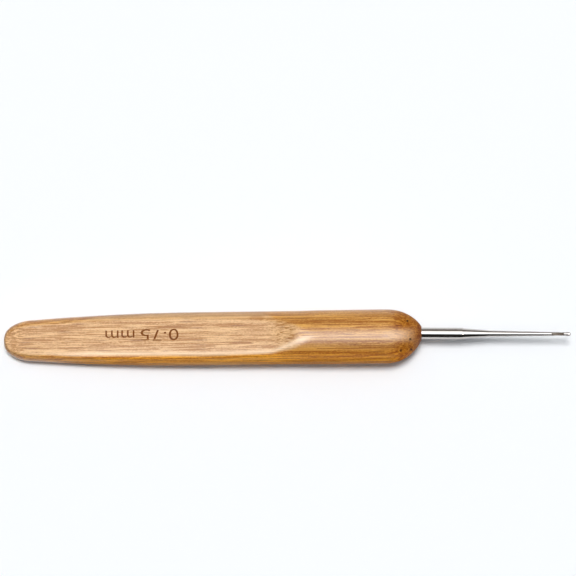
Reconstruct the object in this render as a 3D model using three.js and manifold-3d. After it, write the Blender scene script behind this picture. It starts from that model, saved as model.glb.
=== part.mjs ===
// Crochet hook: a polished steel needle glued into a bored bamboo handle.
// Sizes are millimetres. Every place along the hook is measured from the handle's tail end.
// The pieces are made lying along +X, thumb flat and throat up, and the finished hook is then
// tipped as it lies on a table, on its grip and on its tail.

import * as THREE from "three";
import { mergeVertices, toCreasedNormals } from "three/addons/utils/BufferGeometryUtils.js";
import Module from "manifold-3d";

// Turned handle
const HANDLE_LENGTH = 95.7;
const GRIP_DIAMETER = 12.4;
const TAIL_DIAMETER = 9.7;
const TAIL_DOME_LENGTH = 7.2;
const TAIL_TAPER_LENGTH = 37.8;
const GRIP_LENGTH = 18.8;
const NOSE_LENGTH = 7.9;
const NOSE_RIM_WIDTH = 0.2;

// Thumb and finger flats, sanded on the top and on the underside, which run out up to the grip
const FLAT_TAIL_THICKNESS = 6.2;
const FLAT_SLOPE_DEG = 1.44;
const FLAT_EDGE_RADIUS = 0.8;
const RUN_OUT_DEG = 12;
const RUN_OUT_BLEND_RADIUS = 10;

// Blind bore and the glue in it
const TANG_LENGTH = 24;
const GLUE_THICKNESS = 0.15;
const GLUE_UNDER_TANG = 0.8;
const GLUE_MOUTH_DEPTH = 0.1;
const DRILL_POINT_DEG = 118;
const FIT_GAP = 0.03;

// Needle
const SHANK_DIAMETER = 2.6;
const SHANK_LENGTH = 9.4;
const TANG_CHAMFER = 0.3;
const SHOULDER_LENGTH = 0.6;
const SHOULDER_DIAMETER = 2.3;
const TAPER_LENGTH = 5.8;
const TAPER_DIAMETER = 1.45;
const SHAFT_LENGTH = 14.1;
const SHAFT_DIAMETER = 0.92;

// Hook head and throat; the hook's nominal size is the diameter of its neck
const HOOK_SIZE = 0.75;
const THROAT_LENGTH = 2.8;
const NECK_THICKNESS = 0.34;
const NECK_BEHIND_LIP = 0.4;
const LIP_OVERHANG = 0.16;
const THROAT_ROUNDING = 0.3;
const HEAD_LENGTH = 1.6;
const HEAD_DIAMETER = 0.94;
const HEAD_POINT_LENGTH = 0.85;

// Facets: round a section of the handle
const FLAT_WIDTH_STEPS = 4;
const EDGE_STEPS = 3;
const SIDE_STEPS = 8;
const NARROWEST_FLAT_DEG = 8;

// Facets: along the handle and along the needle
const DOME_STEPS = 12;
const FLAT_LENGTH_STEPS = 15;
const BLEND_STEPS = 4;
const RAMP_STEPS = 9;
const GRIP_STEPS = 3;
const NEEDLE_SIDES = 32;
const SWELL_STEPS = 6;
const POINT_STEPS = 8;
const THROAT_STEPS = 8;
const CREASE_DEG = 30;
const WELD_DISTANCE = 0.0003;
const CUTTER_OVERSHOOT = 2;

const gripRadius = GRIP_DIAMETER / 2;
const tailRadius = TAIL_DIAMETER / 2;
const shankRadius = SHANK_DIAMETER / 2;
const glueRadius = shankRadius + FIT_GAP + GLUE_THICKNESS;
const boreRadius = glueRadius + FIT_GAP;
const noseFaceRadius = boreRadius + NOSE_RIM_WIDTH;
const noseStart = HANDLE_LENGTH - NOSE_LENGTH;
const gripStart = noseStart - GRIP_LENGTH;
const noseReach = NOSE_LENGTH / Math.sqrt(1 - (noseFaceRadius / gripRadius) ** 2);
const flatSlope = THREE.MathUtils.degToRad(FLAT_SLOPE_DEG);
const runOutSlope = THREE.MathUtils.degToRad(RUN_OUT_DEG);
const narrowestFlat = THREE.MathUtils.degToRad(NARROWEST_FLAT_DEG);
const drillPointSlope = 1 / Math.tan(THREE.MathUtils.degToRad(DRILL_POINT_DEG / 2));

// Evenly spaced places from one value to another, both ends included.
function spaced(from, to, steps) {
  return Array.from({ length: steps + 1 }, (_, i) => THREE.MathUtils.lerp(from, to, i / steps));
}

// Half-width of an ellipse at a distance from its centre along its other semi-axis.
function ellipseAt(halfWidth, reach, distance) {
  return halfWidth * Math.sqrt(Math.max(0, 1 - (distance / reach) ** 2));
}

// Radius of the turned handle: a domed tail, a taper that eases out, a straight grip, a blunt nose.
function turnedRadius(along) {
  const taperEnd = TAIL_DOME_LENGTH + TAIL_TAPER_LENGTH;
  if (along < TAIL_DOME_LENGTH) {
    return ellipseAt(tailRadius, TAIL_DOME_LENGTH, TAIL_DOME_LENGTH - along);
  }
  if (along < taperEnd) {
    const left = (taperEnd - along) / TAIL_TAPER_LENGTH;
    return gripRadius - (gripRadius - tailRadius) * left ** 2;
  }
  return along > noseStart ? ellipseAt(gripRadius, noseReach, along - noseStart) : gripRadius;
}

// The run-out: a hollow blend off the sloping plane, then a straight ramp that ends where the grip starts.
const runOutRise = gripRadius - FLAT_TAIL_THICKNESS / 2 - gripStart * Math.tan(flatSlope);
const halfRise = runOutRise / 2;
const blendRadius = Math.min(RUN_OUT_BLEND_RADIUS, halfRise / (1 - Math.cos(runOutSlope)));
const blendReach = blendRadius * Math.sin(runOutSlope);
const blendRise = blendRadius * (1 - Math.cos(runOutSlope));
const rampStart = gripStart - (runOutRise - blendRise) / Math.tan(runOutSlope);
const flatEnd = rampStart - blendReach;

// Height of a sanded flat above the axis.
function flatHeight(along) {
  const plane = FLAT_TAIL_THICKNESS / 2 + along * Math.tan(flatSlope);
  const past = along - flatEnd;
  if (past <= 0) {
    return plane;
  }
  if (along < rampStart) {
    return plane + blendRadius - Math.sqrt(blendRadius ** 2 - past ** 2);
  }
  return plane + blendRise + (along - rampStart) * Math.tan(runOutSlope);
}

// Centre of the small arc that softens the corner between a flat and the round side.
function cornerCentre(radius, height, softness) {
  const up = height - softness;
  return { side: Math.sqrt(Math.max(0, (radius - softness) ** 2 - up ** 2)), up };
}

// Angles from straight up to straight sideways at which a section has its points.
function quarterAngles(radius, height) {
  const softness = Math.min(FLAT_EDGE_RADIUS, radius / 2);
  const cutHeight = Math.min(height, radius * Math.cos(narrowestFlat));
  const corner = cornerCentre(radius, cutHeight, softness);
  const edgeStart = Math.atan2(corner.side, cutHeight);
  const roundStart = Math.atan2(corner.side, corner.up);
  return [
    ...spaced(0, edgeStart, FLAT_WIDTH_STEPS),
    ...spaced(edgeStart, roundStart, EDGE_STEPS).slice(1),
    ...spaced(roundStart, Math.PI / 2, SIDE_STEPS).slice(1),
  ];
}

// Distance from the axis to the skin of a flatted section, at an angle from straight up.
function reachAt(angle, radius, height) {
  if (height >= radius) {
    return radius;
  }
  const softness = Math.min(FLAT_EDGE_RADIUS, radius / 2);
  const corner = cornerCentre(radius, height, softness);
  if (angle <= Math.atan2(corner.side, height)) {
    return height / Math.cos(angle);
  }
  if (angle >= Math.atan2(corner.side, corner.up)) {
    return radius;
  }
  const along = corner.side * Math.sin(angle) + corner.up * Math.cos(angle);
  return along + Math.sqrt(along ** 2 - corner.side ** 2 - corner.up ** 2 + softness ** 2);
}

// Angles once round, from the points of one quarter mirrored into the other three.
function fullTurn(quarter) {
  const half = [...quarter, ...quarter.slice(0, -1).reverse().map((angle) => Math.PI - angle)];
  return [...half, ...half.slice(1, -1).map((angle) => angle + Math.PI)];
}

// One ring of the handle's outside.
function outsideRing(along) {
  const radius = turnedRadius(along);
  const height = flatHeight(along);
  return fullTurn(quarterAngles(radius, height)).map((angle) => {
    const fromFlat = Math.acos(Math.abs(Math.cos(angle)));
    const reach = reachAt(fromFlat, radius, height);
    return new THREE.Vector3(along, reach * Math.sin(angle), reach * Math.cos(angle));
  });
}

// One plain round ring, with its points at the same angles as the end of the nose.
function roundRing(along, radius) {
  return fullTurn(quarterAngles(gripRadius, Infinity)).map(
    (angle) => new THREE.Vector3(along, radius * Math.sin(angle), radius * Math.cos(angle)),
  );
}

// A closed skin from a first point, over the rings in order, to a last point.
function skinOver(first, rings, last) {
  const points = [first, ...rings.flat(), last];
  const count = rings[0].length;
  const faces = [];
  for (let i = 0; i < count; i += 1) {
    const next = (i + 1) % count;
    const lastRing = 1 + (rings.length - 1) * count;
    faces.push(0, 1 + i, 1 + next);
    faces.push(points.length - 1, lastRing + next, lastRing + i);
    for (let ring = 1; ring < rings.length; ring += 1) {
      const back = 1 + (ring - 1) * count;
      const front = back + count;
      faces.push(back + i, front + i, back + next);
      faces.push(back + next, front + i, front + next);
    }
  }
  return new THREE.BufferGeometry().setFromPoints(points).setIndex(faces);
}

// Places of the rings along the handle, closer together where the form bends.
const quarterTurn = spaced(0, Math.PI / 2, DOME_STEPS).slice(1);
const places = {
  tail: quarterTurn.map((turn) => TAIL_DOME_LENGTH * (1 - Math.cos(turn))),
  flats: spaced(TAIL_DOME_LENGTH, flatEnd, FLAT_LENGTH_STEPS).slice(1),
  blend: spaced(flatEnd, rampStart, BLEND_STEPS).slice(1),
  ramp: spaced(1, 0, RAMP_STEPS)
    .slice(1)
    .map((left) => THREE.MathUtils.lerp(gripStart, rampStart, left ** 2)),
  grip: spaced(gripStart, noseStart, GRIP_STEPS).slice(1),
  nose: quarterTurn.map((turn) => noseStart + noseReach * Math.sin(turn)),
};
const boreDepth = TANG_LENGTH + FIT_GAP + GLUE_UNDER_TANG + FIT_GAP;

// Handle: one skin from the tail dome over the outside, in at the nose and down the bore.
function handleGeometry() {
  const outside = Object.values(places)
    .flat()
    .filter((along) => along < HANDLE_LENGTH)
    .map(outsideRing);
  const boreEnd = HANDLE_LENGTH - boreDepth;
  const rings = [
    ...outside,
    roundRing(HANDLE_LENGTH, noseFaceRadius),
    roundRing(HANDLE_LENGTH, boreRadius),
    roundRing(boreEnd, boreRadius),
  ];
  const drillPoint = boreEnd - boreRadius * drillPointSlope;
  return skinOver(new THREE.Vector3(0, 0, 0), rings, new THREE.Vector3(drillPoint, 0, 0));
}

// A solid turned about the X axis from pairs of distance along it and radius.
function turned(profile) {
  const points = profile.map(([along, radius]) => new THREE.Vector2(radius, along));
  return new THREE.LatheGeometry(points, NEEDLE_SIDES).rotateZ(-Math.PI / 2);
}

// Glue: a thin cup that lines the bore and fills the drill point under the tang.
function glueGeometry() {
  const tangEnd = HANDLE_LENGTH - TANG_LENGTH;
  const mouth = HANDLE_LENGTH - GLUE_MOUTH_DEPTH;
  const floor = HANDLE_LENGTH - boreDepth + FIT_GAP;
  const tangRadius = shankRadius + FIT_GAP;
  return turned([
    [floor - glueRadius * drillPointSlope, 0],
    [floor, glueRadius],
    [mouth, glueRadius],
    [mouth, tangRadius],
    [tangEnd - FIT_GAP, tangRadius],
    [tangEnd - FIT_GAP, 0],
  ]);
}

const shoulderStart = HANDLE_LENGTH + SHANK_LENGTH;
const taperStart = shoulderStart + SHOULDER_LENGTH;
const shaftStart = taperStart + TAPER_LENGTH;
const throatStart = shaftStart + SHAFT_LENGTH;
const lip = throatStart + THROAT_LENGTH;
const tip = lip + HEAD_LENGTH;

// Needle blank: tang, shank, shoulder, taper, long shaft, slim neck, swelling head, round point.
function needleBlank() {
  const tangEnd = HANDLE_LENGTH - TANG_LENGTH;
  const neck = lip - NECK_BEHIND_LIP;
  const neckRadius = HOOK_SIZE / 2;
  const headRadius = HEAD_DIAMETER / 2;
  const widest = tip - HEAD_POINT_LENGTH;
  const swell = spaced(0, 1, SWELL_STEPS).map((share) => [
    THREE.MathUtils.lerp(neck, widest, share),
    THREE.MathUtils.lerp(neckRadius, headRadius, THREE.MathUtils.smoothstep(share, 0, 1)),
  ]);
  const point = spaced(0, Math.PI / 2, POINT_STEPS)
    .slice(1, -1)
    .map((turn) => [widest + HEAD_POINT_LENGTH * Math.sin(turn), headRadius * Math.cos(turn)]);
  return turned([
    [tangEnd, 0],
    [tangEnd, shankRadius - TANG_CHAMFER],
    [tangEnd + TANG_CHAMFER, shankRadius],
    [shoulderStart, shankRadius],
    [taperStart, SHOULDER_DIAMETER / 2],
    [shaftStart, TAPER_DIAMETER / 2],
    [throatStart, SHAFT_DIAMETER / 2],
    ...swell,
    ...point,
    [tip, 0],
  ]);
}

// Throat: the long ramp cut down into the neck, which ends in a hollow under the head's lip.
function throatCutter() {
  const rampTop = new THREE.Vector2(throatStart, SHAFT_DIAMETER / 2);
  const lipTop = new THREE.Vector2(lip, HEAD_DIAMETER / 2);
  const corner = new THREE.Vector2(lip + LIP_OVERHANG, NECK_THICKNESS - HOOK_SIZE / 2);
  const beforeCorner = corner.clone().lerp(rampTop, THROAT_ROUNDING / THROAT_LENGTH);
  const afterCorner = corner.clone().lerp(lipTop, THROAT_ROUNDING / corner.distanceTo(lipTop));
  const aboveRamp = corner.clone().lerp(rampTop, CUTTER_OVERSHOOT);
  const aboveLip = corner.clone().lerp(lipTop, CUTTER_OVERSHOOT);
  const outline = new THREE.Shape();
  outline.moveTo(aboveRamp.x, aboveRamp.y);
  outline.lineTo(beforeCorner.x, beforeCorner.y);
  outline.quadraticCurveTo(corner.x, corner.y, afterCorner.x, afterCorner.y);
  outline.lineTo(aboveLip.x, aboveLip.y);
  outline.closePath();
  const width = CUTTER_OVERSHOOT * SHAFT_DIAMETER;
  const across = { depth: width, bevelEnabled: false, curveSegments: THROAT_STEPS };
  return new THREE.ExtrudeGeometry(outline, across)
    .rotateX(Math.PI / 2)
    .translate(0, width / 2, 0);
}

const wasm = await Module();
wasm.setup();

// A closed geometry as a solid that can be cut.
function solidOf(geometry) {
  geometry.deleteAttribute("normal");
  geometry.deleteAttribute("uv");
  const merged = mergeVertices(geometry, WELD_DISTANCE);
  return new wasm.Manifold(
    new wasm.Mesh({
      numProp: 3,
      vertProperties: merged.attributes.position.array,
      triVerts: new Uint32Array(merged.index.array),
    }),
  );
}

// What is left of one geometry once another is cut out of it.
function cut(geometry, cutter) {
  const left = solidOf(geometry).subtract(solidOf(cutter)).getMesh();
  return new THREE.BufferGeometry()
    .setAttribute("position", new THREE.BufferAttribute(left.vertProperties, 3))
    .setIndex(new THREE.BufferAttribute(left.triVerts, 1));
}

// A named piece with its finish.
function piece(name, geometry, finish) {
  const mesh = new THREE.Mesh(
    toCreasedNormals(geometry, THREE.MathUtils.degToRad(CREASE_DEG)),
    new THREE.MeshStandardMaterial(finish),
  );
  mesh.name = name;
  return mesh;
}

// Angle at which the hook lies: its underside touches the table at the tail and where the grip starts.
function restAngle() {
  const behind = [...places.tail, ...places.flats, ...places.blend];
  return Math.min(
    ...behind.map((along) => {
      const underside = Math.min(turnedRadius(along), flatHeight(along));
      return Math.atan2(gripRadius - underside, gripStart - along);
    }),
  );
}

const hook = new THREE.Group();
hook.add(
  piece("bamboo_handle", handleGeometry(), { color: 0xd0a068, roughness: 0.5, metalness: 0 }),
  piece("adhesive", glueGeometry(), { color: 0xb98f45, roughness: 0.4, metalness: 0 }),
  piece("steel_needle", cut(needleBlank(), throatCutter()), {
    color: 0xd9dbde,
    roughness: 0.12,
    metalness: 1,
  }),
);

// Middle of each flat, where a rack or a stand could hold the hook, with its outward direction.
const flatMiddle = (TAIL_DOME_LENGTH + flatEnd) / 2;
hook.userData.flats = [1, -1].map((side) => ({
  point: new THREE.Vector3(flatMiddle, 0, side * flatHeight(flatMiddle)),
  outward: new THREE.Vector3(-Math.sin(flatSlope), 0, side * Math.cos(flatSlope)),
}));

// The hook lies with its grip and tail on z = 0, centred over the origin.
hook.rotation.y = -restAngle();
const box = new THREE.Box3().setFromObject(hook, true);
const middle = box.getCenter(new THREE.Vector3());
hook.position.set(-middle.x, -middle.y, -box.min.z);

const restingHook = new THREE.Group();
restingHook.add(hook);

export default restingHook;
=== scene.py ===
# Crochet hook: a polished steel needle glued into a turned bamboo handle, lying on a pale table.
import math

import bpy
from mathutils import Matrix, Vector


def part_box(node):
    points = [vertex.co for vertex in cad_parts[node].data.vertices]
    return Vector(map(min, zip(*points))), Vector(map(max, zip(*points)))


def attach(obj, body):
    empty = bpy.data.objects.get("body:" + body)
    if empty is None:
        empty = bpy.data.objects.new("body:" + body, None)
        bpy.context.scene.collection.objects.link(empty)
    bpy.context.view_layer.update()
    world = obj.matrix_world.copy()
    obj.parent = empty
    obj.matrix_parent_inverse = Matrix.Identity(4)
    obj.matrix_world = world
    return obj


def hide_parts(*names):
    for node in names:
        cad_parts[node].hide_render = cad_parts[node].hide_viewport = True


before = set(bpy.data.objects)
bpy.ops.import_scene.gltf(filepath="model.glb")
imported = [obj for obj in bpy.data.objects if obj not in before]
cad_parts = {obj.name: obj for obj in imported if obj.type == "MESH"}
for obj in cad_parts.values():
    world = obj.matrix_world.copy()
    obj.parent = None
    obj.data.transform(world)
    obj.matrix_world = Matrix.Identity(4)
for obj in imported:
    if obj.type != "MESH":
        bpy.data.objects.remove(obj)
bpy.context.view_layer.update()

# Bamboo handle. One stick of bamboo, turned on a lathe with a domed tail, a slow taper, a straight grip and
# a blunt nose, and drilled from the nose for the needle. It is then sanded flat on top for the thumb and
# underneath for the fingers, so the flats are paler than the varnished round skin.

# Every piece is made in millimetres along the hook's own axis, tail at the origin, and then laid down.
HANDLE_LENGTH = 95.9
GRIP_RADIUS = 6.2
TAIL_RADIUS = 4.85
TAIL_DOME_LENGTH = 7.2
TAIL_POWER = 0.41
TAIL_TAPER_LENGTH = 37.8
GRIP_LENGTH = 18.8
NOSE_LENGTH = 8.1
NOSE_POWER = 0.65
FLAT_TAIL_HEIGHT = 3.1
FLAT_SLOPE = math.radians(1.44)
FLAT_EDGE_RADIUS = 0.8
RUN_OUT_EDGE_RADIUS = 2.6
RUN_OUT_SLOPE = math.radians(12)
RUN_OUT_BLEND_RADIUS = 10
RUN_OUT_EARLY = 0.7
RUN_OUT_CREST = 1.2
BORE_RADIUS = 1.51
NOSE_FACE_RADIUS = 1.54
BORE_DEPTH = 25.06
DRILL_POINT_SLOPE = 0.6
MERIDIANS = 192
NARROWEST_FLAT = math.radians(8)
FLAT_CROWN = 0.1
TAIL_DUBBING = 0.85
TAIL_DUBBING_REACH = 5.5
FLAT_SHARE = 0.42
EDGE_SHARE = 0.16
BLUNTING_BEFORE = 4
BLUNTING_AFTER = 2
CROWN_FADE_WIDTH = 3
DOME_STEPS = 28
FLAT_STEPS = 40
BLEND_STEPS = 8
RAMP_STEPS = 36
GRIP_STEPS = 10
WELD_REACH = 0.001

nose_start = HANDLE_LENGTH - NOSE_LENGTH
nose_reach = NOSE_LENGTH / math.sqrt(1 - (NOSE_FACE_RADIUS / GRIP_RADIUS) ** (1 / NOSE_POWER))
grip_start = nose_start - GRIP_LENGTH
run_out_rise = GRIP_RADIUS - FLAT_TAIL_HEIGHT - grip_start * math.tan(FLAT_SLOPE)
blend_reach = RUN_OUT_BLEND_RADIUS * math.sin(RUN_OUT_SLOPE)
blend_rise = RUN_OUT_BLEND_RADIUS * (1 - math.cos(RUN_OUT_SLOPE))
ramp_start = grip_start - RUN_OUT_EARLY - (run_out_rise - blend_rise) / math.tan(RUN_OUT_SLOPE)
flat_end = ramp_start - blend_reach
crest_end = grip_start + RUN_OUT_CREST / math.tan(RUN_OUT_SLOPE)


def turned_radius(place):
    """Radius of the turned handle at a place along it."""
    taper_end = TAIL_DOME_LENGTH + TAIL_TAPER_LENGTH
    if place < TAIL_DOME_LENGTH:
        share = (TAIL_DOME_LENGTH - place) / TAIL_DOME_LENGTH
        return TAIL_RADIUS * max(0, 1 - share**2) ** TAIL_POWER
    if place < taper_end:
        left = (taper_end - place) / TAIL_TAPER_LENGTH
        return GRIP_RADIUS - (GRIP_RADIUS - TAIL_RADIUS) * left**2
    if place < nose_start:
        return GRIP_RADIUS
    return GRIP_RADIUS * max(0, 1 - ((place - nose_start) / nose_reach) ** 2) ** NOSE_POWER


def flat_height(place):
    """Height of a sanded flat above the axis: a slow slope, a hollow blend, a ramp and a soft crest."""
    plane = FLAT_TAIL_HEIGHT + place * math.tan(FLAT_SLOPE)
    if place <= flat_end:
        return plane
    if place < ramp_start:
        past = place - flat_end
        return plane + RUN_OUT_BLEND_RADIUS - math.sqrt(RUN_OUT_BLEND_RADIUS**2 - past**2)
    ramp_height = plane + blend_rise + (place - ramp_start) * math.tan(RUN_OUT_SLOPE)
    nearness = max(0, 1 - abs(ramp_height - GRIP_RADIUS) / RUN_OUT_CREST)
    return min(ramp_height, GRIP_RADIUS) - RUN_OUT_CREST * nearness**2 / 4


def smooth(value, low, high):
    """A soft step from 0 at low to 1 at high."""
    share = min(1, max(0, (value - low) / (high - low)))
    return share * share * (3 - 2 * share)


def spaced(start, end, steps):
    """Evenly spaced places from start to end, without the start."""
    return [start + (end - start) * (i + 1) / steps for i in range(steps)]


def spun(name, profile, steps):
    """A piece turned about the hook's axis: its profile is drawn by extruding a point, then spun."""
    bpy.ops.object.select_all(action="DESELECT")
    bpy.ops.mesh.primitive_plane_add(size=1)
    piece = bpy.context.object
    piece.name = name
    bpy.ops.object.mode_set(mode="EDIT")
    bpy.ops.mesh.select_all(action="SELECT")
    bpy.ops.mesh.merge(type="CENTER")
    bpy.ops.transform.translate(value=(profile[0][0], 0, profile[0][1]))
    for (place, radius), (next_place, next_radius) in zip(profile, profile[1:]):
        step = (next_place - place, 0, next_radius - radius)
        bpy.ops.mesh.extrude_region_move(TRANSFORM_OT_translate={"value": step})
    bpy.ops.mesh.select_all(action="SELECT")
    bpy.ops.mesh.spin(steps=steps, angle=math.tau, center=(0, 0, 0), axis=(1, 0, 0))
    bpy.ops.mesh.select_all(action="SELECT")
    bpy.ops.mesh.remove_doubles(threshold=WELD_REACH)
    bpy.ops.mesh.normals_make_consistent(inside=False)
    bpy.ops.object.mode_set(mode="OBJECT")
    return piece


quarter = spaced(0, math.pi / 2, DOME_STEPS)
handle_places = [0]
handle_places += [TAIL_DOME_LENGTH * (1 - math.cos(turn)) for turn in quarter]
handle_places += spaced(TAIL_DOME_LENGTH, flat_end, FLAT_STEPS)
handle_places += spaced(flat_end, ramp_start, BLEND_STEPS)
handle_places += spaced(ramp_start, crest_end, RAMP_STEPS)
handle_places += spaced(crest_end, nose_start, GRIP_STEPS)
handle_places += [nose_start + nose_reach * math.sin(turn) for turn in quarter]
handle_places = [place for place in handle_places if place < HANDLE_LENGTH]
bore_end = HANDLE_LENGTH - BORE_DEPTH
handle_profile = [(place, turned_radius(place)) for place in handle_places]
handle_profile += [(HANDLE_LENGTH, NOSE_FACE_RADIUS), (HANDLE_LENGTH, BORE_RADIUS)]
handle_profile += [(bore_end, BORE_RADIUS), (bore_end - BORE_RADIUS * DRILL_POINT_SLOPE, 0)]
handle = spun("bamboo_handle_turned", handle_profile, MERIDIANS)


def interpolated(share, stops, values):
    """A value read off a line through stops."""
    for i in range(len(stops) - 1):
        if share <= stops[i + 1] or i == len(stops) - 2:
            part = (share - stops[i]) / (stops[i + 1] - stops[i])
            return values[i] + (values[i + 1] - values[i]) * part


def sanded(place, share, radius, height):
    """Angle from straight up, and reach, of a skin point at a share of the quarter turn from flat to side."""
    blunting = smooth(place, flat_end - BLUNTING_BEFORE, ramp_start + BLUNTING_AFTER)
    softness = FLAT_EDGE_RADIUS + (RUN_OUT_EDGE_RADIUS - FLAT_EDGE_RADIUS) * blunting
    softness = min(softness, radius / 2)
    cut = min(height, radius * math.cos(NARROWEST_FLAT))
    up = cut - softness
    side = math.sqrt(max(0, (radius - softness) ** 2 - up**2))
    stops = [0, FLAT_SHARE, FLAT_SHARE + EDGE_SHARE, 1]
    turns = [0, math.atan2(side, cut), math.atan2(side, up), math.pi / 2]
    turn = interpolated(share, stops, turns)
    if height >= radius:
        return turn, radius
    up = height - softness
    side = math.sqrt(max(0, (radius - softness) ** 2 - up**2))
    if turn <= math.atan2(side, height):
        return turn, height / math.cos(turn)
    if turn >= math.atan2(side, up):
        return turn, radius
    along = side * math.sin(turn) + up * math.cos(turn)
    return turn, along + math.sqrt(along**2 - side**2 - up**2 + softness**2)


# The nose is finished by hand, so its tip and the bore drilled in it sit a little off the handle's middle.
# The far side of the nose follows it from further back than the near side does.
NOSE_DRIFT = 0.62
NOSE_BEND_FAR = 2
NOSE_BEND_NEAR = 4
BORE_SKEW = 0.0178


def drift(place):
    """Sideways offset of the bore, and of everything in it, at a place along the handle."""
    return NOSE_DRIFT - (place - HANDLE_LENGTH) * BORE_SKEW


# The turned skin's meridians are slid round to the edges of the flats and pressed onto them.
for vertex in handle.data.vertices:
    place, across, upward = vertex.co
    radius = math.hypot(across, upward)
    on_axis = radius < WELD_REACH
    in_bore = place > bore_end - BORE_RADIUS and radius < NOSE_FACE_RADIUS + WELD_REACH
    if in_bore:
        vertex.co.y += drift(place)
    if in_bore or on_axis:
        continue
    share = math.acos(min(1, abs(upward) / radius)) / (math.pi / 2)
    height = flat_height(place)
    if upward > 0:
        height -= TAIL_DUBBING * (1 - smooth(place, 0, TAIL_DUBBING_REACH))
    turn, reach = sanded(place, share, radius, height)
    if height < radius:
        half_width = math.sqrt(radius**2 - height**2)
        from_middle = min(1, reach * math.sin(turn) / half_width)
        reach -= FLAT_CROWN * from_middle**2 * smooth(half_width, 0, CROWN_FADE_WIDTH)
    vertex.co.y = math.copysign(reach * math.sin(turn), across)
    vertex.co.z = math.copysign(reach * math.cos(turn), upward)
    past_nose = max(0, place - nose_start) / NOSE_LENGTH
    bend = NOSE_BEND_NEAR if across < 0 else NOSE_BEND_FAR
    vertex.co.y += NOSE_DRIFT * past_nose**bend

# Size mark, burnt into the thumb flat: a plain number, upside down when the needle points right. Each
# character is a punch of its own: where it starts, how far above the line it sits, its widening and slant.
MARK_CHARACTERS = (
    ("0", 40.6, -0.05, 1.34, 0),
    (".", 37.9, 0.6, 1.3, 0),
    ("7", 36.4, 0.12, 1.3, -0.13),
    ("5", 34.2, -0.05, 1.5, 0),
    ("m", 30.6, 0.1, 1.24, 0),
    ("m", 26.95, 0.1, 1.24, 0),
)
MARK_BASELINE = 2.04
MARK_SIZE = 3.78
MARK_BOLDNESS = -0.015
MARK_DEPTH = 0.14
MARK_WELD_REACH = 0.0005
punches = []
for character, start, lift, widening, slant in MARK_CHARACTERS:
    here = (start, MARK_BASELINE - lift, FLAT_TAIL_HEIGHT + start * math.tan(FLAT_SLOPE))
    bpy.ops.object.select_all(action="DESELECT")
    bpy.ops.object.text_add(location=here, rotation=(0, FLAT_SLOPE, math.pi))
    letter = bpy.context.object
    letter.data.body = character
    letter.data.size = MARK_SIZE
    letter.data.extrude = MARK_DEPTH
    letter.data.offset = MARK_BOLDNESS
    letter.data.shear = slant
    letter.scale.x = widening
    bpy.ops.object.convert(target="MESH")
    punches.append(bpy.context.object)
bpy.ops.object.select_all(action="DESELECT")
for punch in punches:
    punch.select_set(True)
bpy.context.view_layer.objects.active = punches[0]
bpy.ops.object.join()
mark = bpy.context.object
bpy.ops.object.mode_set(mode="EDIT")
bpy.ops.mesh.select_all(action="SELECT")
bpy.ops.mesh.remove_doubles(threshold=MARK_WELD_REACH)
bpy.ops.mesh.normals_make_consistent(inside=False)
bpy.ops.object.mode_set(mode="OBJECT")
bpy.ops.object.select_all(action="DESELECT")


def cut_out(piece, cutter):
    """What is left of a piece once the cutter is cut out of it."""
    bpy.context.view_layer.objects.active = piece
    piece.select_set(True)
    modifier = piece.modifiers.new("cut", "BOOLEAN")
    modifier.operation = "DIFFERENCE"
    modifier.solver = "EXACT"
    modifier.object = cutter
    bpy.ops.object.modifier_apply(modifier="cut")
    bpy.data.objects.remove(cutter)


cut_out(handle, mark)

# How the hook lies: on its grip and its tail, tip up, with its needle's tip where the frame has it.
REST_TILT = math.radians(2.6081)
NEEDLE_TIP = 130
MM = 0.001
tip_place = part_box("steel_needle")[1].x
tail_x = tip_place - NEEDLE_TIP * MM * math.cos(REST_TILT)
tail_z = (GRIP_RADIUS * math.cos(REST_TILT) - grip_start * math.sin(REST_TILT)) * MM
tip_up = Matrix.Rotation(-REST_TILT, 4, "Y")
laid_down = Matrix.Translation((tail_x, 0, tail_z)) @ tip_up @ Matrix.Scale(MM, 4)
SMOOTH_UP_TO = math.radians(30)


def lay_down(piece):
    """Puts a finished piece where it lies on the table, and smooths its shading across soft edges."""
    piece.data.transform(laid_down)
    bpy.ops.object.select_all(action="DESELECT")
    piece.select_set(True)
    bpy.context.view_layer.objects.active = piece
    bpy.ops.object.shade_smooth_by_angle(angle=SMOOTH_UP_TO)


def coloured(red, green, blue):
    """A linear colour from the three 8-bit values that a finish shows in daylight."""
    parts = [value / 255 for value in (red, green, blue)]
    return [part / 12.92 if part <= 0.04045 else ((part + 0.055) / 1.055) ** 2.4 for part in parts] + [1]


def add(tree, kind, inputs=(), **settings):
    """A node with its settings, and its inputs by name: a number or colour, or another node's output."""
    made = tree.nodes.new(kind)
    for name, value in settings.items():
        setattr(made, name, value)
    for name, value in dict(inputs).items():
        if isinstance(value, bpy.types.NodeSocket):
            tree.links.new(value, made.inputs[name])
        else:
            made.inputs[name].default_value = value
    return made


def maths(tree, operation, first, second=0.0, third=0.0):
    """The output of one Math node."""
    made = tree.nodes.new("ShaderNodeMath")
    made.operation = operation
    for socket, value in zip(made.inputs, (first, second, third)):
        if isinstance(value, bpy.types.NodeSocket):
            tree.links.new(value, socket)
        else:
            socket.default_value = value
    return made.outputs[0]


def blended(tree, share, first, second, blend="MIX"):
    """A colour mixed from two, by a share."""
    made = tree.nodes.new("ShaderNodeMix")
    made.data_type = "RGBA"
    made.blend_type = blend
    for name, value in (("Factor_Float", share), ("A_Color", first), ("B_Color", second)):
        socket = next(s for s in made.inputs if s.identifier == name)
        if isinstance(value, bpy.types.NodeSocket):
            tree.links.new(value, socket)
        else:
            socket.default_value = value
    return next(s for s in made.outputs if s.identifier == "Result_Color")


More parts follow.
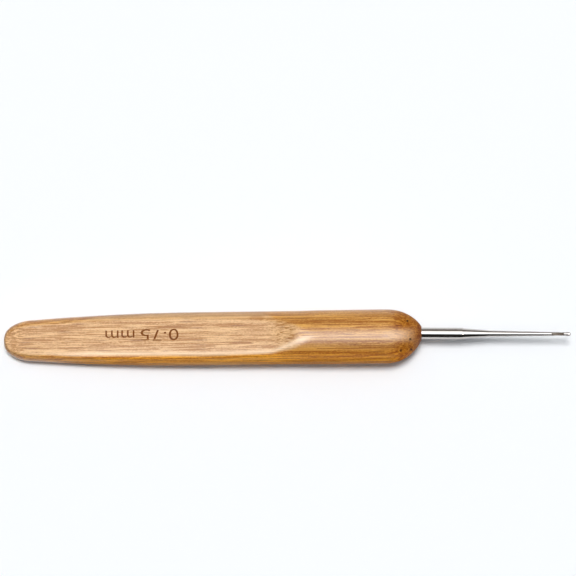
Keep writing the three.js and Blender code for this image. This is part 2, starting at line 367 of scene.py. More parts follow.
def fade(tree, value, span, first=0.0, last=1.0):
    """A soft change from a first level to a last one, as a value passes through a span."""
    made = tree.nodes.new("ShaderNodeMapRange")
    made.interpolation_type = "SMOOTHSTEP"
    tree.links.new(value, made.inputs["Value"])
    for name, number in zip(("From Min", "From Max", "To Min", "To Max"), (*span, first, last)):
        made.inputs[name].default_value = number
    return made.outputs["Result"]


def overlap(tree, share, *others):
    """Where several shares overlap: all of them multiplied together."""
    for other in others:
        share = maths(tree, "MULTIPLY", share, other)
    return share


def tinted(tree, share, colour, tint):
    """A colour multiplied by a tint, by a share."""
    return blended(tree, share, colour, tint, "MULTIPLY")


def new_material(name):
    """A new material, its node tree and its main shader."""
    made = bpy.data.materials.new(name)
    made.use_nodes = True
    return made, made.node_tree, made.node_tree.nodes["Principled BSDF"]


def hook_coordinates(tree):
    """Places on the hook in millimetres along its own axis, from the tail, as it was before it lay down."""
    lying = {
        "Vector": add(tree, "ShaderNodeTexCoord").outputs["Object"],
        "Location": (tail_x, 0, tail_z),
        "Rotation": (0, -REST_TILT, 0),
        "Scale": (MM, MM, MM),
    }
    return add(tree, "ShaderNodeMapping", lying, vector_type="TEXTURE").outputs["Vector"]


def drawn_out(tree, place, fineness):
    """Places for a pattern that has so many cells in a millimetre along the hook, across it and upward."""
    return add(tree, "ShaderNodeVectorMath", {0: place, 1: fineness}, operation="MULTIPLY").outputs[0]


def grain(tree, place, fineness, detail):
    """Soft noise, drawn out along the hook where it is less fine that way."""
    inputs = {"Vector": drawn_out(tree, place, fineness), "Scale": 1.0, "Detail": detail, "Roughness": 0.6}
    return add(tree, "ShaderNodeTexNoise", inputs).outputs["Fac"]


def cells(tree, place, fineness):
    """Cells scattered at random, drawn out along the hook."""
    inputs = {"Vector": drawn_out(tree, place, fineness), "Scale": 1.0, "Randomness": 1.0}
    return add(tree, "ShaderNodeTexVoronoi", inputs)


def strands(tree, place, fineness):
    """A shade of its own for each strand of fibres, drawn out straight along the hook."""
    colours = cells(tree, place, fineness).outputs["Color"]
    return add(tree, "ShaderNodeSeparateColor", {0: colours}).outputs[0]


# How far each point of the skin is sanded, how far the flats' near edges are burnished and worn, and where
# the far rim turns away, kept per vertex. The burnished band also carries a painted highlight, and the far
# rim carries painted shade and a painted sheen. Both edges of a flat are worn, but the far one is sanded well
# out onto the skin between tail and run-out. Each pair is where a soft change starts and ends. From a flat's
# edge, SOFTNESS is measured inwards over the skin and WORN outwards. STEEPNESS is how far the skin faces up
# or down, SIDE is across the hook, and the rest are along it.
NEAR_SOFTNESS = (-0.75, -0.1)
FAR_SOFTNESS = (-0.9, 0.3)
FAR_SOFTNESS_MIDDLE = (-3.2, -1.5)
MIDDLE_BEGINS = (17, 26)
MIDDLE_ENDS = (59, 63)
LEAST_RADIUS = 0.01
TAIL_SANDING = 3.2
TAIL_SANDING_REACH = 4.5
DOME_SANDING = 1.5
SANDING_FADE = 2.6
NEAR_INSET = 0.52
NEAR_INSET_BEGINS = (4, 12)
NEAR_INSET_ENDS = (63, 67)
NEAR_INSET_MIDDLE = 0.28
NEAR_MIDDLE_BEGINS = (14, 22)
NEAR_MIDDLE_ENDS = (38, 48)
BURNISH_AND_HIGHLIGHT_REACH = 0.42
BURNISH_AND_HIGHLIGHT_RUN_OUT_REACH = 0.8
BURNISH_AND_HIGHLIGHT_RUN_OUT_INSET = 1.05
BURNISH_AND_HIGHLIGHT_BEGINS = (4, 20)
BURNISH_AND_HIGHLIGHT_SPREADS = (62, 68.5)
BURNISH_AND_HIGHLIGHT_ENDS = (68, 74)
WORN_INSIDE = (-3.2, -0.2)
WORN_OUTSIDE = (0.3, 1.0)
WEAR_BEGINS = (8, 30)
RIM_STEEPNESS = (0.15, 0.75)
RIM_SIDE = (0, 2)
RIM_BEGINS = (8, 22)
RIM_ENDS = (84, 90)
TAIL_RIM_ENDS = (2, 5)


def between(value, rise, fall):
    """A share that rises from 0 to 1 over one span and falls back over a later one."""
    return smooth(value, *rise) * (1 - smooth(value, *fall))


masks = ("sanded", "burnish_and_highlight", "wear", "rim")
for mask in masks:
    handle.data.attributes.new(mask, "FLOAT", "POINT")
sanded_layer, burnish_and_highlight_layer, wear_layer, rim_layer = [handle.data.attributes[mask] for mask in masks]
for vertex in handle.data.vertices:
    place, across, upward = vertex.co
    radius = max(turned_radius(min(place, HANDLE_LENGTH)), LEAST_RADIUS)
    height = flat_height(place)
    edge = math.acos(min(1, height / radius))
    turn = math.atan2(abs(across), abs(upward))
    inside = radius * (edge - turn) - DOME_SANDING * max(0, height - radius)
    inside += TAIL_SANDING * (1 - smooth(place, 0, TAIL_SANDING_REACH))
    low, high = NEAR_SOFTNESS
    if across < 0:
        inside -= NEAR_INSET * between(place, NEAR_INSET_BEGINS, NEAR_INSET_ENDS)
        inside -= NEAR_INSET_MIDDLE * between(place, NEAR_MIDDLE_BEGINS, NEAR_MIDDLE_ENDS)
    if across > 0:
        middle = between(place, MIDDLE_BEGINS, MIDDLE_ENDS)
        low = FAR_SOFTNESS[0] + (FAR_SOFTNESS_MIDDLE[0] - FAR_SOFTNESS[0]) * middle
        high = FAR_SOFTNESS[1] + (FAR_SOFTNESS_MIDDLE[1] - FAR_SOFTNESS[1]) * middle
    fading = 1 - smooth(place, grip_start - SANDING_FADE, grip_start)
    sanded_layer.data[vertex.index].value = smooth(inside, low, high) * fading
    # The far rim, found from how steeply the skin faces: its colour gets painted shade beside the flats and a
    # painted sheen along the grip.
    steep = 1 - smooth(abs(vertex.normal.z), *RIM_STEEPNESS)
    far_side = smooth(across, *RIM_SIDE) * smooth(place, *RIM_BEGINS)
    far_side = max(far_side, 1 - smooth(place, *TAIL_RIM_ENDS))
    rim_layer.data[vertex.index].value = steep * far_side * (1 - smooth(place, *RIM_ENDS))
    # Along the near edge: a burnished band, which adds gloss and is also painted with a pale highlight
    # colour.
    if across < 0:
        spread = smooth(place, *BURNISH_AND_HIGHLIGHT_SPREADS)
        reach = BURNISH_AND_HIGHLIGHT_REACH + (BURNISH_AND_HIGHLIGHT_RUN_OUT_REACH - BURNISH_AND_HIGHLIGHT_REACH) * spread
        from_band = (inside - BURNISH_AND_HIGHLIGHT_RUN_OUT_INSET * spread) / reach
        burnished_and_highlighted = math.exp(-(from_band**2)) * between(place, BURNISH_AND_HIGHLIGHT_BEGINS, BURNISH_AND_HIGHLIGHT_ENDS)
        burnish_and_highlight_layer.data[vertex.index].value = burnished_and_highlighted
        worn = between(-inside, WORN_INSIDE, WORN_OUTSIDE) * fading
        wear_layer.data[vertex.index].value = worn * smooth(place, *WEAR_BEGINS)

# The handle is cut from some place in a longer cane. The wood's tone is a sum of patterns, each with its
# share, and each with its fineness along, across and upward, in cells to a millimetre. From here on, a span
# named SIDE is across the hook, one named HEIGHT is upward, and one named for where something begins, ends
# or changes on the way is along it.
CUT_FROM = (40, 3, 1)
FIBRES = (0.075, 4.2, 4.2)
SHEAVES = (0.025, 1.7, 1.7)
BANDS = (0.02, 0.6, 0.6)
SPECKLE = (0.38, 3.8, 3.8)
PITS = (2.0, 4.5, 4.5)
GRAIN_SHARES = (0.24, 0.05, 0.11, 0.31, 0.29)
TONE_SPAN = (0.36, 0.64)

bamboo, tree, shader = new_material("varnished_bamboo")
place = hook_coordinates(tree)
parts = add(tree, "ShaderNodeSeparateXYZ", {0: place})
along = parts.outputs["X"]
across = parts.outputs["Y"]
upward = parts.outputs["Z"]
from_middle = maths(tree, "ABSOLUTE", across)
is_sanded, is_burnished_and_highlighted, is_worn, is_far_rim = [
    add(tree, "ShaderNodeAttribute", attribute_name=mask).outputs["Fac"] for mask in masks
]
cane = add(tree, "ShaderNodeVectorMath", {0: place, 1: CUT_FROM}, operation="ADD").outputs[0]
speckle = grain(tree, cane, SPECKLE, 2)
patterns = (
    strands(tree, cane, FIBRES),
    strands(tree, cane, SHEAVES),
    grain(tree, cane, BANDS, 1),
    speckle,
    grain(tree, cane, PITS, 1),
)
mixed = 0.0
for pattern, share in zip(patterns, GRAIN_SHARES):
    mixed = maths(tree, "MULTIPLY_ADD", pattern, share, mixed)
tone = fade(tree, mixed, TONE_SPAN)

# The varnished skin is warm brown, and paler beside the flats. Painted light lightens the far side of the
# grip and brightens the near underside, making it more golden, and a painted reflection greys its lowest rim.
SKIN_DARK = coloured(146, 84, 20)
SKIN_LIGHT = coloured(203, 147, 70)
RUN_OUT = (60, 66)
BESIDE_TINT = (1.33, 1.38, 1.3, 1)
BESIDE_BEGINS = (16, 32)
BESIDE_NEAR_SHARE = 0.6
UNDER_PAINTED_LIGHT = (1.46, 1.29, 0.42, 1)
UNDER_SIDE = (-5.0, -2.2)
UNDER_GROWS = (58, 66)
UNDER_SHARE = 0.72
FAR_GRIP_PAINTED_LIGHT = (1.11, 1.14, 1.12, 1)
FAR_GRIP_SIDE = (0.8, 2.2)
FAR_GRIP_BEGINS = (62, 68)
LOW_RIM_REFLECTION_COLOUR = coloured(186, 150, 124)
LOW_RIM_SIDE = (-6.1, -5.2)
LOW_RIM_SHARE = 0.5
LOW_RIM_FADES = (52, 64)
LOW_RIM_GRIP_SHARE = 0.35
skin = blended(tree, tone, SKIN_DARK, SKIN_LIGHT)
before_run_out = fade(tree, along, RUN_OUT, 1, 0)
near_beside = overlap(tree, fade(tree, along, BESIDE_BEGINS, 0, BESIDE_NEAR_SHARE), before_run_out)
far_beside = overlap(tree, fade(tree, across, UNDER_SIDE), before_run_out)
beside_flats = maths(tree, "MAXIMUM", near_beside, far_beside)
skin = tinted(tree, beside_flats, skin, BESIDE_TINT)
# Painted light on the near underside: brightened and made more golden, with its blue cut where the floor
# would be reflected.
is_under = overlap(tree, fade(tree, across, UNDER_SIDE, 1, 0), fade(tree, along, UNDER_GROWS, UNDER_SHARE, 1))
skin = tinted(tree, is_under, skin, UNDER_PAINTED_LIGHT)
# Painted light: the far half of the grip's top is lightened.
far_grip_painted_light = overlap(tree, fade(tree, across, FAR_GRIP_SIDE), fade(tree, along, FAR_GRIP_BEGINS))
skin = tinted(tree, far_grip_painted_light, skin, FAR_GRIP_PAINTED_LIGHT)
# Painted reflection: the lowest near rim is greyed as if it mirrored the floor.
low_rim_reflection = fade(tree, across, LOW_RIM_SIDE, LOW_RIM_SHARE, 0)
low_rim_reflection = overlap(tree, low_rim_reflection, fade(tree, along, LOW_RIM_FADES, 1, LOW_RIM_GRIP_SHARE))
skin = blended(tree, low_rim_reflection, skin, LOW_RIM_REFLECTION_COLOUR)

# Sanding bares the pale wood under the skin.
FLAT_DARK = coloured(164, 108, 41)
FLAT_LIGHT = coloured(224, 178, 123)
flat = blended(tree, tone, FLAT_DARK, FLAT_LIGHT)
colour = blended(tree, is_sanded, skin, flat)

# Thin dark threads follow the fibres, and darker short dashes are the bundles cut open by the sanding.
THREADS = (0.07, 3.4, 3.4)
THREAD_SPAN = (0.82, 0.88)
THREAD_BREAKS = (0.4, 0.56)
THREAD_LEAST = 0.1
THREAD_TINT = (0.76, 0.66, 0.48, 1)
BUNDLES = (0.1, 1.2, 1.2)
BUNDLE_SPAN = (0.1, 0.26)
BUNDLE_SHARE = 0.5
BUNDLE_COLOUR = coloured(112, 62, 24)
is_thread = fade(tree, strands(tree, cane, THREADS), THREAD_SPAN)
is_thread = overlap(tree, is_thread, fade(tree, speckle, THREAD_BREAKS, THREAD_LEAST, 1))
colour = tinted(tree, is_thread, colour, THREAD_TINT)
bundles = cells(tree, cane, BUNDLES)
is_bundle = fade(tree, bundles.outputs["Distance"], BUNDLE_SPAN, BUNDLE_SHARE, 0)
colour = blended(tree, is_bundle, colour, BUNDLE_COLOUR)

# The flat's far edge is lightened with a painted sheen, its run-out is darkened with painted shade, the
# burnished band is palest of all with a painted highlight, and the far rim has painted shade beside the flats
# and a painted sheen along the grip.
FAR_EDGE_SIDE = (3.6, 5.2)
FAR_EDGE_SHARE = 0.4
FAR_EDGE_SHEEN_COLOUR = coloured(228, 188, 140)
RUN_OUT_PAINTED_SHADE = (0.91, 0.91, 0.91, 1)
# The burnished band's pale colour is a painted highlight.
PAINTED_HIGHLIGHT_SHARE = 0.62
PAINTED_HIGHLIGHT_COLOUR = coloured(244, 208, 164)
RIM_LIGHTENS = (58, 66)
FAR_RIM_PAINTED_SHADE = (0.76, 0.71, 0.74, 1)
GRIP_RIM_PAINTED_SHEEN = (1.26, 1.3, 1.28, 1)
# Painted sheen: the flat's far edge is paled, standing in for the reflection it lacks.
far_edge_sheen = overlap(tree, fade(tree, across, FAR_EDGE_SIDE, 0, FAR_EDGE_SHARE), is_sanded)
colour = blended(tree, far_edge_sheen, colour, FAR_EDGE_SHEEN_COLOUR)
# Painted shade on the sanded run-out, which tilts away from the light.
on_run_out = overlap(tree, fade(tree, along, RUN_OUT), is_sanded)
colour = tinted(tree, on_run_out, colour, RUN_OUT_PAINTED_SHADE)
# Painted highlight along the flat's near edge and up the run-out.
colour = blended(tree, maths(tree, "MULTIPLY", is_burnished_and_highlighted, PAINTED_HIGHLIGHT_SHARE), colour, PAINTED_HIGHLIGHT_COLOUR)
# Painted shade on the far rim beside the flats, and a painted sheen on it along the grip.
rim_painted_light = blended(tree, fade(tree, along, RIM_LIGHTENS), FAR_RIM_PAINTED_SHADE, GRIP_RIM_PAINTED_SHEEN)
colour = tinted(tree, is_far_rim, colour, rim_painted_light)

# The nose cuts the fibres across, so it is darker and redder. It is darker still at its very end, round the
# needle. A pale crest runs along the top of the grip and onto the nose: a painted highlight.
NOSE_BEGINS = (87.0, 92.5)
NOSE_TINT = (0.79, 0.63, 0.31, 1)
NOSE_END_BEGINS = (94.4, 95.7)
NOSE_END_TINT = (0.7, 0.56, 0.42, 1)
CREST_HIGHLIGHT_COLOUR = coloured(232, 190, 140)
CREST_SIDE = (0.6, 2.1)
CREST_SHARE = 0.4
CREST_BEGINS = (66, 71)
CREST_ON_GRIP = 0.42
CREST_GROWS = (86, 89.5)
CREST_ON_NOSE = 0.5
CREST_ENDS = (92.8, 95.2)
CREST_HEIGHT = (0, 2)
is_nose = fade(tree, along, NOSE_BEGINS)
colour = tinted(tree, is_nose, colour, NOSE_TINT)
colour = tinted(tree, fade(tree, along, NOSE_END_BEGINS), colour, NOSE_END_TINT)
# Painted highlight along the crest of the grip and onto the nose.
on_grip = fade(tree, along, CREST_BEGINS, 0, CREST_ON_GRIP)
on_nose = fade(tree, along, CREST_GROWS, 0, CREST_ON_NOSE)
crest = overlap(
    tree,
    fade(tree, from_middle, CREST_SIDE, CREST_SHARE, 0),
    maths(tree, "ADD", on_grip, on_nose),
    fade(tree, along, CREST_ENDS, 1, 0),
    fade(tree, upward, CREST_HEIGHT),
)
colour = blended(tree, crest, colour, CREST_HIGHLIGHT_COLOUR)

# Open pores in the nose, by place along and across, and stains, which also have a half length and width.
NOSE_PORES = ((92.8, 3.24), (91.2, -3.55), (93.5, -3.19), (93.4, -0.94))
PORE_RADIUS = 0.31
PORE_SPAN = (PORE_RADIUS / 2, PORE_RADIUS * 1.3)
PORE_SHARE = 0.85
PORE_COLOUR = coloured(46, 20, 8)
STAINS = ((58.4, 4.35, 1.7, 0.6), (90.6, 1.9, 1.4, 0.65))
STAIN_SPAN = (0.2, 1.8)
STAIN_HEIGHT = (0, 1)
STAIN_TINT = (0.8, 0.7, 0.6, 1)
flattened = add(tree, "ShaderNodeVectorMath", {0: place, 1: (1, 1, 0)}, operation="MULTIPLY")
for pore in NOSE_PORES:
    away = add(tree, "ShaderNodeVectorMath", {0: flattened.outputs[0], 1: (*pore, 0)}, operation="DISTANCE")
    is_pore = fade(tree, away.outputs["Value"], PORE_SPAN, PORE_SHARE, 0)
    colour = blended(tree, is_pore, colour, PORE_COLOUR)
for start, side, length, width in STAINS:
    past = maths(tree, "POWER", maths(tree, "MULTIPLY_ADD", along, 1 / length, -start / length), 2)
    beside = maths(tree, "POWER", maths(tree, "MULTIPLY_ADD", across, 1 / width, -side / width), 2)
    is_stained = fade(tree, maths(tree, "ADD", past, beside), STAIN_SPAN, 1, 0)
    is_stained = overlap(tree, is_stained, fade(tree, upward, STAIN_HEIGHT))
    colour = tinted(tree, is_stained, colour, STAIN_TINT)
tree.links.new(colour, shader.inputs["Base Color"])
shader.inputs["Specular IOR Level"].default_value = 0
bump = add(tree, "ShaderNodeBump", {"Height": mixed, "Strength": 0.5, "Distance": 0.00015})
tree.links.new(bump.outputs["Normal"], shader.inputs["Normal"])

# The varnish reflects like glass over the wood; sanding takes most of it off and wear polishes it again.
# It is thin low on the near skin and along the flat's near edge, and it is rubbed off the sides of the nose.
VARNISH_ROUGHNESS = 0.38
SANDED_ROUGHNESS = 0.08
SANDING_LOSS = -0.5
BURNISH_GLOSS = (0.05, 0.33)
WEAR_GLOSS = 0.25
RUN_OUT_LOSS = -0.25
NOSE_LOSS = -0.25
LOW_SKIN_SIDE = (-5.5, -4.6)
LOW_SKIN_GLOSS = 0.15
NEAR_EDGE_OUTER_SIDE = (-4.9, -4.5)
NEAR_EDGE_INNER_SIDE = (-4.2, -3.5)
NEAR_EDGE_BEGINS = (14, 26)
NEAR_EDGE_ENDS = (58, 64)
NEAR_EDGE_LOSS = -0.9
NOSE_SIDE = (1, 3)
NOSE_SIDE_BEGINS = (88.5, 92)
NOSE_SIDE_LOSS = -0.7
NOSE_END_DULLS = (94, 95.6)
NOSE_END_GLOSS = 0.5
roughness = maths(tree, "MULTIPLY_ADD", is_sanded, SANDED_ROUGHNESS, VARNISH_ROUGHNESS)
varnish = add(tree, "ShaderNodeBsdfGlossy", {"Normal": bump.outputs["Normal"], "Roughness": roughness})
fresnel = add(tree, "ShaderNodeFresnel", {"IOR": 1.5, "Normal": bump.outputs["Normal"]})
changes = (
    (is_sanded, SANDING_LOSS),
    (is_burnished_and_highlighted, fade(tree, along, RUN_OUT, *BURNISH_GLOSS)),
    (is_worn, WEAR_GLOSS),
    (on_run_out, RUN_OUT_LOSS),
    (is_nose, NOSE_LOSS),
)
kept = 1.0
for treated, change in changes:
    kept = maths(tree, "MULTIPLY_ADD", treated, change, kept)
kept = overlap(tree, kept, fade(tree, across, LOW_SKIN_SIDE, LOW_SKIN_GLOSS, 1))
near_edge = overlap(
    tree,
    fade(tree, across, NEAR_EDGE_OUTER_SIDE, 0, NEAR_EDGE_LOSS),
    fade(tree, across, NEAR_EDGE_INNER_SIDE, 1, 0),
    fade(tree, along, NEAR_EDGE_ENDS, 1, 0),
    fade(tree, along, NEAR_EDGE_BEGINS),
)
nose_side = overlap(
    tree,
    fade(tree, from_middle, NOSE_SIDE, 0, NOSE_SIDE_LOSS),
    fade(tree, along, NOSE_SIDE_BEGINS),
)
for loss in (near_edge, nose_side):
    kept = maths(tree, "MULTIPLY_ADD", kept, loss, kept)
kept = overlap(tree, kept, fade(tree, along, NOSE_END_DULLS, 1, NOSE_END_GLOSS))
gloss = overlap(tree, fresnel.outputs["Fac"], kept)
coat = add(tree, "ShaderNodeMixShader", {0: gloss, 1: shader.outputs[0], 2: varnish.outputs[0]})
tree.links.new(coat.outputs[0], tree.nodes["Material Output"].inputs["Surface"])
handle.data.materials.append(bamboo)

# The mark is burnt in, so the cut faces are dark brown, and fainter along the tops of the last figures. It
# runs back from its first figure towards the tail.
CHAR_DARK = coloured(104, 58, 26)
CHAR_LIGHT = coloured(142, 86, 44)
CHAR_GRAIN = (3.0, 3.0, 3.0)
FAINT_TOP = (-0.45, 0.1)
FAINT_FIGURES = (37.4, 36.6)
FAINTNESS = 0.28
MARK_LAST_PLACE = 15
MARK_HALF_HEIGHT = 2.5
burnt, tree, shader = new_material("burnt_mark")
place = hook_coordinates(tree)
parts = add(tree, "ShaderNodeSeparateXYZ", {0: place})
colour = blended(tree, grain(tree, place, CHAR_GRAIN, 3), CHAR_DARK, CHAR_LIGHT)
faint = fade(tree, parts.outputs["Y"], FAINT_TOP, FAINTNESS, 0)
faint = overlap(tree, faint, fade(tree, parts.outputs["X"], FAINT_FIGURES))
colour = blended(tree, faint, colour, FLAT_LIGHT)
tree.links.new(colour, shader.inputs["Base Color"])
shader.inputs["Specular IOR Level"].default_value = 0
handle.data.materials.append(burnt)
mark_first_place = MARK_CHARACTERS[0][1] + 1
for face in handle.data.polygons:
    depth = FLAT_TAIL_HEIGHT + face.center.x * math.tan(FLAT_SLOPE) - face.center.z
    in_mark = MARK_LAST_PLACE < face.center.x < mark_first_place and abs(face.center.y) < MARK_HALF_HEIGHT
    if in_mark and MARK_DEPTH / 3 < depth < MARK_DEPTH * 2:
        face.material_index = 1
lay_down(handle)
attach(handle, "root")
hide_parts("bamboo_handle")

# Adhesive. A cured amber film between the tang and the bore, which fills the drill point under the tang.
# Only its ring shows, a little below the bore's mouth.
TANG_LENGTH = 24.2
SHANK_RADIUS = 1.3
FIT_GAP = 0.03
GLUE_THICKNESS = 0.15
GLUE_MOUTH_DEPTH = 0.1
GLUE_DIP = 0.05
ROD_MERIDIANS = 96
RESIN_DARK = coloured(120, 84, 40)
RESIN_LIGHT = coloured(176, 134, 76)
RESIN_CLOUDS = (1.2, 1.2, 1.2)
RESIN_ROUGHNESS = 0.25
glue_inside = SHANK_RADIUS + FIT_GAP
glue_outside = glue_inside + GLUE_THICKNESS
glue_mouth = HANDLE_LENGTH - GLUE_MOUTH_DEPTH
glue_floor = bore_end + FIT_GAP
tang_end = HANDLE_LENGTH - TANG_LENGTH
adhesive = spun(
    "adhesive_film",
    [
        (glue_floor - glue_outside * DRILL_POINT_SLOPE, 0),
        (glue_floor, glue_outside),
        (glue_mouth, glue_outside),
        (glue_mouth - GLUE_DIP, (glue_inside + glue_outside) / 2),
        (glue_mouth, glue_inside),
        (tang_end - FIT_GAP, glue_inside),
        (tang_end - FIT_GAP, 0),
    ],
    ROD_MERIDIANS,
)
for vertex in adhesive.data.vertices:
    vertex.co.y += drift(vertex.co.x)
resin, tree, shader = new_material("cured_adhesive")
clouds = grain(tree, hook_coordinates(tree), RESIN_CLOUDS, 2)
tree.links.new(blended(tree, clouds, RESIN_DARK, RESIN_LIGHT), shader.inputs["Base Color"])
shader.inputs["Roughness"].default_value = RESIN_ROUGHNESS
adhesive.data.materials.append(resin)
lay_down(adhesive)
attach(adhesive, "root")
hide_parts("adhesive")

# Steel needle. One rod of steel, ground from its shank through a small shoulder and a taper to a thin
# shaft, with a throat ground into the top behind a rounded head. Polished and plated, apart from the
# throat, which keeps its ground finish. Its tang is glued in the handle.
TANG_CHAMFER = 0.3
SHANK_LENGTH = 9.2
SHOULDER_LENGTH = 0.6
SHOULDER_RADIUS = 1.15
TAPER_LENGTH = 5.8
TAPER_RADIUS = 0.725
SHAFT_LENGTH = 14.1
SHAFT_RADIUS = 0.46
THROAT_LENGTH = 2.8
NECK_RADIUS = 0.375
NECK_THICKNESS = 0.34
NECK_BEHIND_LIP = 0.4
LIP_OVERHANG = 0.16
THROAT_ROUNDING = 0.3
THROAT_STEPS = 10
HEAD_LENGTH = 1.6
HEAD_RADIUS = 0.47
HEAD_POINT_LENGTH = 0.62
CORNER_REACH = 0.35
CORNER_STEPS = 6
CORNER_MARGIN = 1.25
HEAD_SWELL_STEPS = 16
HEAD_POINT_STEPS = 20

shoulder_start = HANDLE_LENGTH + SHANK_LENGTH
taper_start = shoulder_start + SHOULDER_LENGTH
shaft_start = taper_start + TAPER_LENGTH
throat_start = shaft_start + SHAFT_LENGTH
lip = throat_start + THROAT_LENGTH
widest = lip + HEAD_LENGTH - HEAD_POINT_LENGTH
neck = lip - NECK_BEHIND_LIP
corners = [
    (tang_end, SHANK_RADIUS - TANG_CHAMFER),
    (tang_end + TANG_CHAMFER, SHANK_RADIUS),
    (shoulder_start, SHANK_RADIUS),
    (taper_start, SHOULDER_RADIUS),
    (shaft_start, TAPER_RADIUS),
    (throat_start, SHAFT_RADIUS),
    (neck, NECK_RADIUS),
]


def eased(corners):
    """A line through corners with each inner corner rounded off, and a close point on both sides of it."""
    line = [corners[0]]
    for before, corner, after in zip(corners, corners[1:], corners[2:]):
        here = Vector(corner)
        back = Vector(before) - here
        ahead = Vector(after) - here
        start = here + back.normalized() * min(CORNER_REACH, back.length / 3)
        end = here + ahead.normalized() * min(CORNER_REACH, ahead.length / 3)
        line.append(tuple(here + (start - here) * CORNER_MARGIN))
        for i in range(CORNER_STEPS + 1):
            share = i / CORNER_STEPS
            line.append(tuple(start.lerp(here, share).lerp(here.lerp(end, share), share)))
        line.append(tuple(here + (end - here) * CORNER_MARGIN))
    line.append(corners[-1])
    return line


needle_profile = [(tang_end, 0)] + eased(corners)
for place in spaced(neck, widest, HEAD_SWELL_STEPS):
    swell = smooth(place, neck, widest)
    needle_profile.append((place, NECK_RADIUS + (HEAD_RADIUS - NECK_RADIUS) * swell))
for turn in spaced(0, math.pi / 2, HEAD_POINT_STEPS):
    needle_profile.append((widest + HEAD_POINT_LENGTH * math.sin(turn), HEAD_RADIUS * math.cos(turn)))
needle = spun("steel_needle_ground", needle_profile, ROD_MERIDIANS)

# The grinding wheel that cuts the throat: a ramp, a rounded bottom and the face under the lip.
ramp_top = Vector((throat_start, 0, SHAFT_RADIUS))
lip_top = Vector((lip, 0, HEAD_RADIUS))
throat_bottom = Vector((lip + LIP_OVERHANG, 0, NECK_THICKNESS - NECK_RADIUS))
above_ramp = throat_bottom.lerp(ramp_top, 2)
above_lip = throat_bottom.lerp(lip_top, 2)
bpy.ops.object.select_all(action="DESELECT")
bpy.ops.mesh.primitive_plane_add(size=1)
wheel = bpy.context.object
bpy.ops.object.mode_set(mode="EDIT")
bpy.ops.mesh.select_all(action="SELECT")
bpy.ops.mesh.merge(type="CENTER")
bpy.ops.transform.translate(value=above_ramp - Vector((0, SHAFT_RADIUS * 2, 0)))
bpy.ops.mesh.extrude_region_move(TRANSFORM_OT_translate={"value": throat_bottom - above_ramp})
bpy.ops.mesh.extrude_region_move(TRANSFORM_OT_translate={"value": above_lip - throat_bottom})
bpy.ops.mesh.select_all(action="SELECT")
bpy.ops.mesh.edge_face_add()
bpy.ops.mesh.select_all(action="DESELECT")
bpy.ops.object.mode_set(mode="OBJECT")
bottom_vertex = min(wheel.data.vertices, key=lambda vertex: (vertex.co - throat_bottom).length)
bottom_vertex.select = True
bpy.ops.object.mode_set(mode="EDIT")
bpy.ops.mesh.bevel(offset=THROAT_ROUNDING, segments=THROAT_STEPS, affect="VERTICES")
bpy.ops.mesh.select_all(action="SELECT")
bpy.ops.mesh.extrude_region_move(TRANSFORM_OT_translate={"value": (0, SHAFT_RADIUS * 4, 0)})
bpy.ops.mesh.select_all(action="SELECT")
bpy.ops.mesh.normals_make_consistent(inside=False)
bpy.ops.object.mode_set(mode="OBJECT")
bpy.ops.object.select_all(action="DESELECT")
cut_out(needle, wheel)

# The steel is polished, with faint lines along it; the throat is left as the wheel cut it. The throat's dark
# colour is partly its ground finish and partly painted shade, and painted shade darkens it towards the lip.
STEEL_DARK = coloured(186, 180, 176)
STEEL_LIGHT = coloured(202, 196, 190)
STEEL_LINES = (0.3, 9.0, 9.0)
STEEL_ROUGHNESS = 0.06
STEEL_LINE_ROUGHNESS = 0.08
steel, tree, shader = new_material("polished_steel")
lines = grain(tree, hook_coordinates(tree), STEEL_LINES, 3)
roughness = maths(tree, "MULTIPLY_ADD", lines, STEEL_LINE_ROUGHNESS, STEEL_ROUGHNESS)
tree.links.new(blended(tree, lines, STEEL_DARK, STEEL_LIGHT), shader.inputs["Base Color"])
tree.links.new(roughness, shader.inputs["Roughness"])
shader.inputs["Metallic"].default_value = 1
needle.data.materials.append(steel)

THROAT_DARK = coloured(50, 46, 42)
THROAT_LIGHT = coloured(88, 81, 75)
THROAT_SCRATCHES = (6.0, 22.0, 22.0)
THROAT_ROUGHNESS = 0.42
DEEP_PAINTED_SHADE = (0.45, 0.43, 0.41, 1)
DEEPEST_BEFORE_LIP = 0.6
ground, tree, shader = new_material("ground_throat")
place = hook_coordinates(tree)
colour = blended(tree, grain(tree, place, THROAT_SCRATCHES, 3), THROAT_DARK, THROAT_LIGHT)
along = add(tree, "ShaderNodeSeparateXYZ", {0: place}).outputs["X"]
# Painted shade, darker towards the lip where the throat is deepest.
deeper = fade(tree, along, (throat_start, lip - DEEPEST_BEFORE_LIP))
colour = tinted(tree, deeper, colour, DEEP_PAINTED_SHADE)
tree.links.new(colour, shader.inputs["Base Color"])
shader.inputs["Roughness"].default_value = THROAT_ROUGHNESS
shader.inputs["Metallic"].default_value = 1
needle.data.materials.append(ground)


def needle_radius(place):
    """Radius of the needle's turned skin at a place along it."""
    for (start, first), (end, last) in zip(needle_profile, needle_profile[1:]):
        if start <= place <= end and end > start:
            return first + (last - first) * (place - start) / (end - start)
    return 0


CUT_BELOW_SKIN = 0.01
for face in needle.data.polygons:
    place, across, upward = face.center
    if throat_start < place < widest and math.hypot(across, upward) < needle_radius(place) - CUT_BELOW_SKIN:
        face.material_index = 1
for vertex in needle.data.vertices:
    vertex.co.y += drift(vertex.co.x)
lay_down(needle)
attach(needle, "root")
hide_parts("steel_needle")

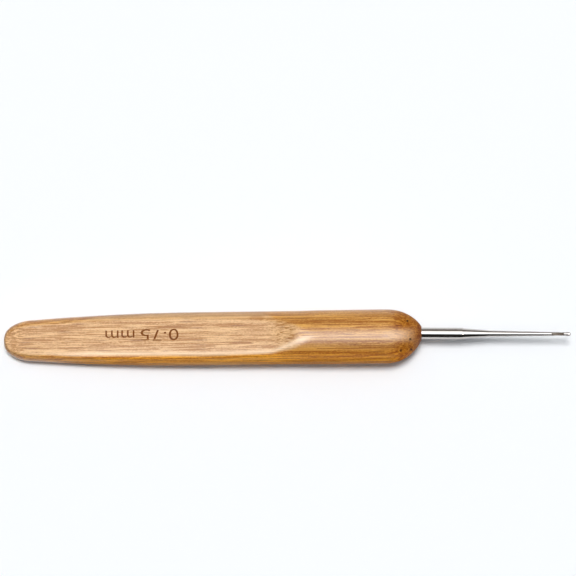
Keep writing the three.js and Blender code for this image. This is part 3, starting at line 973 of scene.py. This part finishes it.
# Table. A plain pale sheet of paper under the hook, which is no part of it. It is far wider than the view,
# so that the steel mirrors it too.
TABLE_SIZE = 12
PAPER_COLOUR = (0.888, 0.9, 0.912, 1)
bpy.ops.object.select_all(action="DESELECT")
bpy.ops.mesh.primitive_plane_add(size=TABLE_SIZE)
table = bpy.context.object
table.name = "table"
paper, tree, shader = new_material("pale_table")
shader.inputs["Base Color"].default_value = PAPER_COLOUR
shader.inputs["Roughness"].default_value = 1
shader.inputs["Specular IOR Level"].default_value = 0
table.data.materials.append(paper)

# Light. A soft key leans over the hook from behind and isn't mirrored in it, a cool panel overhead is, and
# the strip and the sheet are only there to be mirrored, in the varnish and the steel. The room is dim and
# warm, and brighter behind the hook than in front.
KEY_STRENGTH = 2.45
KEY_ANGLE = math.radians(12.5)
KEY_LEAN = math.radians(7.4)
PANEL_COLOUR = (0.88, 0.98, 1.1)
WHITE = (1, 1, 1)
LIGHT_HEIGHT = 2
SHEET_ABOVE = 0.01
ROOM_SPAN = (-0.1, 0.45)
ROOM_IN_FRONT = 0.03
ROOM_BEHIND = 0.26
ROOM_COLOUR = (1.0, 0.94, 0.88, 1)
key = bpy.data.objects.new("key", bpy.data.lights.new("key", "SUN"))
key.data.energy = KEY_STRENGTH
key.data.angle = KEY_ANGLE
key.rotation_euler.x = -KEY_LEAN
key.visible_glossy = False
bpy.context.scene.collection.objects.link(key)
# Each light overhead: its power, length along the hook, width, place behind its middle, height and colour.
overhead = {
    "panel": (11, 1.7, 1.7, 0.17, LIGHT_HEIGHT, PANEL_COLOUR),
    "strip": (245, 5.4, 1.0, -0.06, LIGHT_HEIGHT, WHITE),
    "sheet": (40, 4, 2.38, 0.77, LIGHT_HEIGHT + SHEET_ABOVE, WHITE),
}
for name, (power, length, width, behind, height, colour) in overhead.items():
    lamp = bpy.data.objects.new(name, bpy.data.lights.new(name, "AREA"))
    lamp.data.shape = "RECTANGLE"
    lamp.data.size = length
    lamp.data.size_y = width
    lamp.data.energy = power
    lamp.data.color = colour
    lamp.visible_diffuse = name == "panel"
    lamp.location = (0, behind, height)
    bpy.context.scene.collection.objects.link(lamp)
room = bpy.data.worlds.new("room")
bpy.context.scene.world = room
room.use_nodes = True
tree = room.node_tree
towards = add(tree, "ShaderNodeSeparateXYZ", {0: add(tree, "ShaderNodeTexCoord").outputs["Generated"]})
level = fade(tree, towards.outputs["Y"], ROOM_SPAN, ROOM_IN_FRONT, ROOM_BEHIND)
tree.links.new(level, tree.nodes["Background"].inputs["Strength"])
tree.nodes["Background"].inputs["Color"].default_value = ROOM_COLOUR
bpy.context.scene.view_settings.view_transform = "Standard"

# Camera. It stands nearly overhead, with the hook across the lower half of the picture, tip to the right,
# and is turned a little about its own line of sight.
CAMERA_ELEVATION = math.radians(86)
CAMERA_DISTANCE = 1.2
CAMERA_ROLL = math.radians(0.559)
VIEW_WIDTH = 0.132
SENSOR_WIDTH = 36
AIM = Vector((0.0004, 0.01136, 0.0066))
camera_data = bpy.data.cameras.new("camera")
camera_data.sensor_width = SENSOR_WIDTH
camera_data.lens = SENSOR_WIDTH * CAMERA_DISTANCE / VIEW_WIDTH
camera = bpy.data.objects.new("camera", camera_data)
backward = Vector((0, -math.cos(CAMERA_ELEVATION), math.sin(CAMERA_ELEVATION)))
camera.location = AIM + backward * CAMERA_DISTANCE
upright = backward.to_track_quat("Z", "Y")
camera.rotation_euler = (Matrix.Rotation(-CAMERA_ROLL, 3, backward) @ upright.to_matrix()).to_euler()
bpy.context.scene.collection.objects.link(camera)
bpy.context.scene.camera = camera
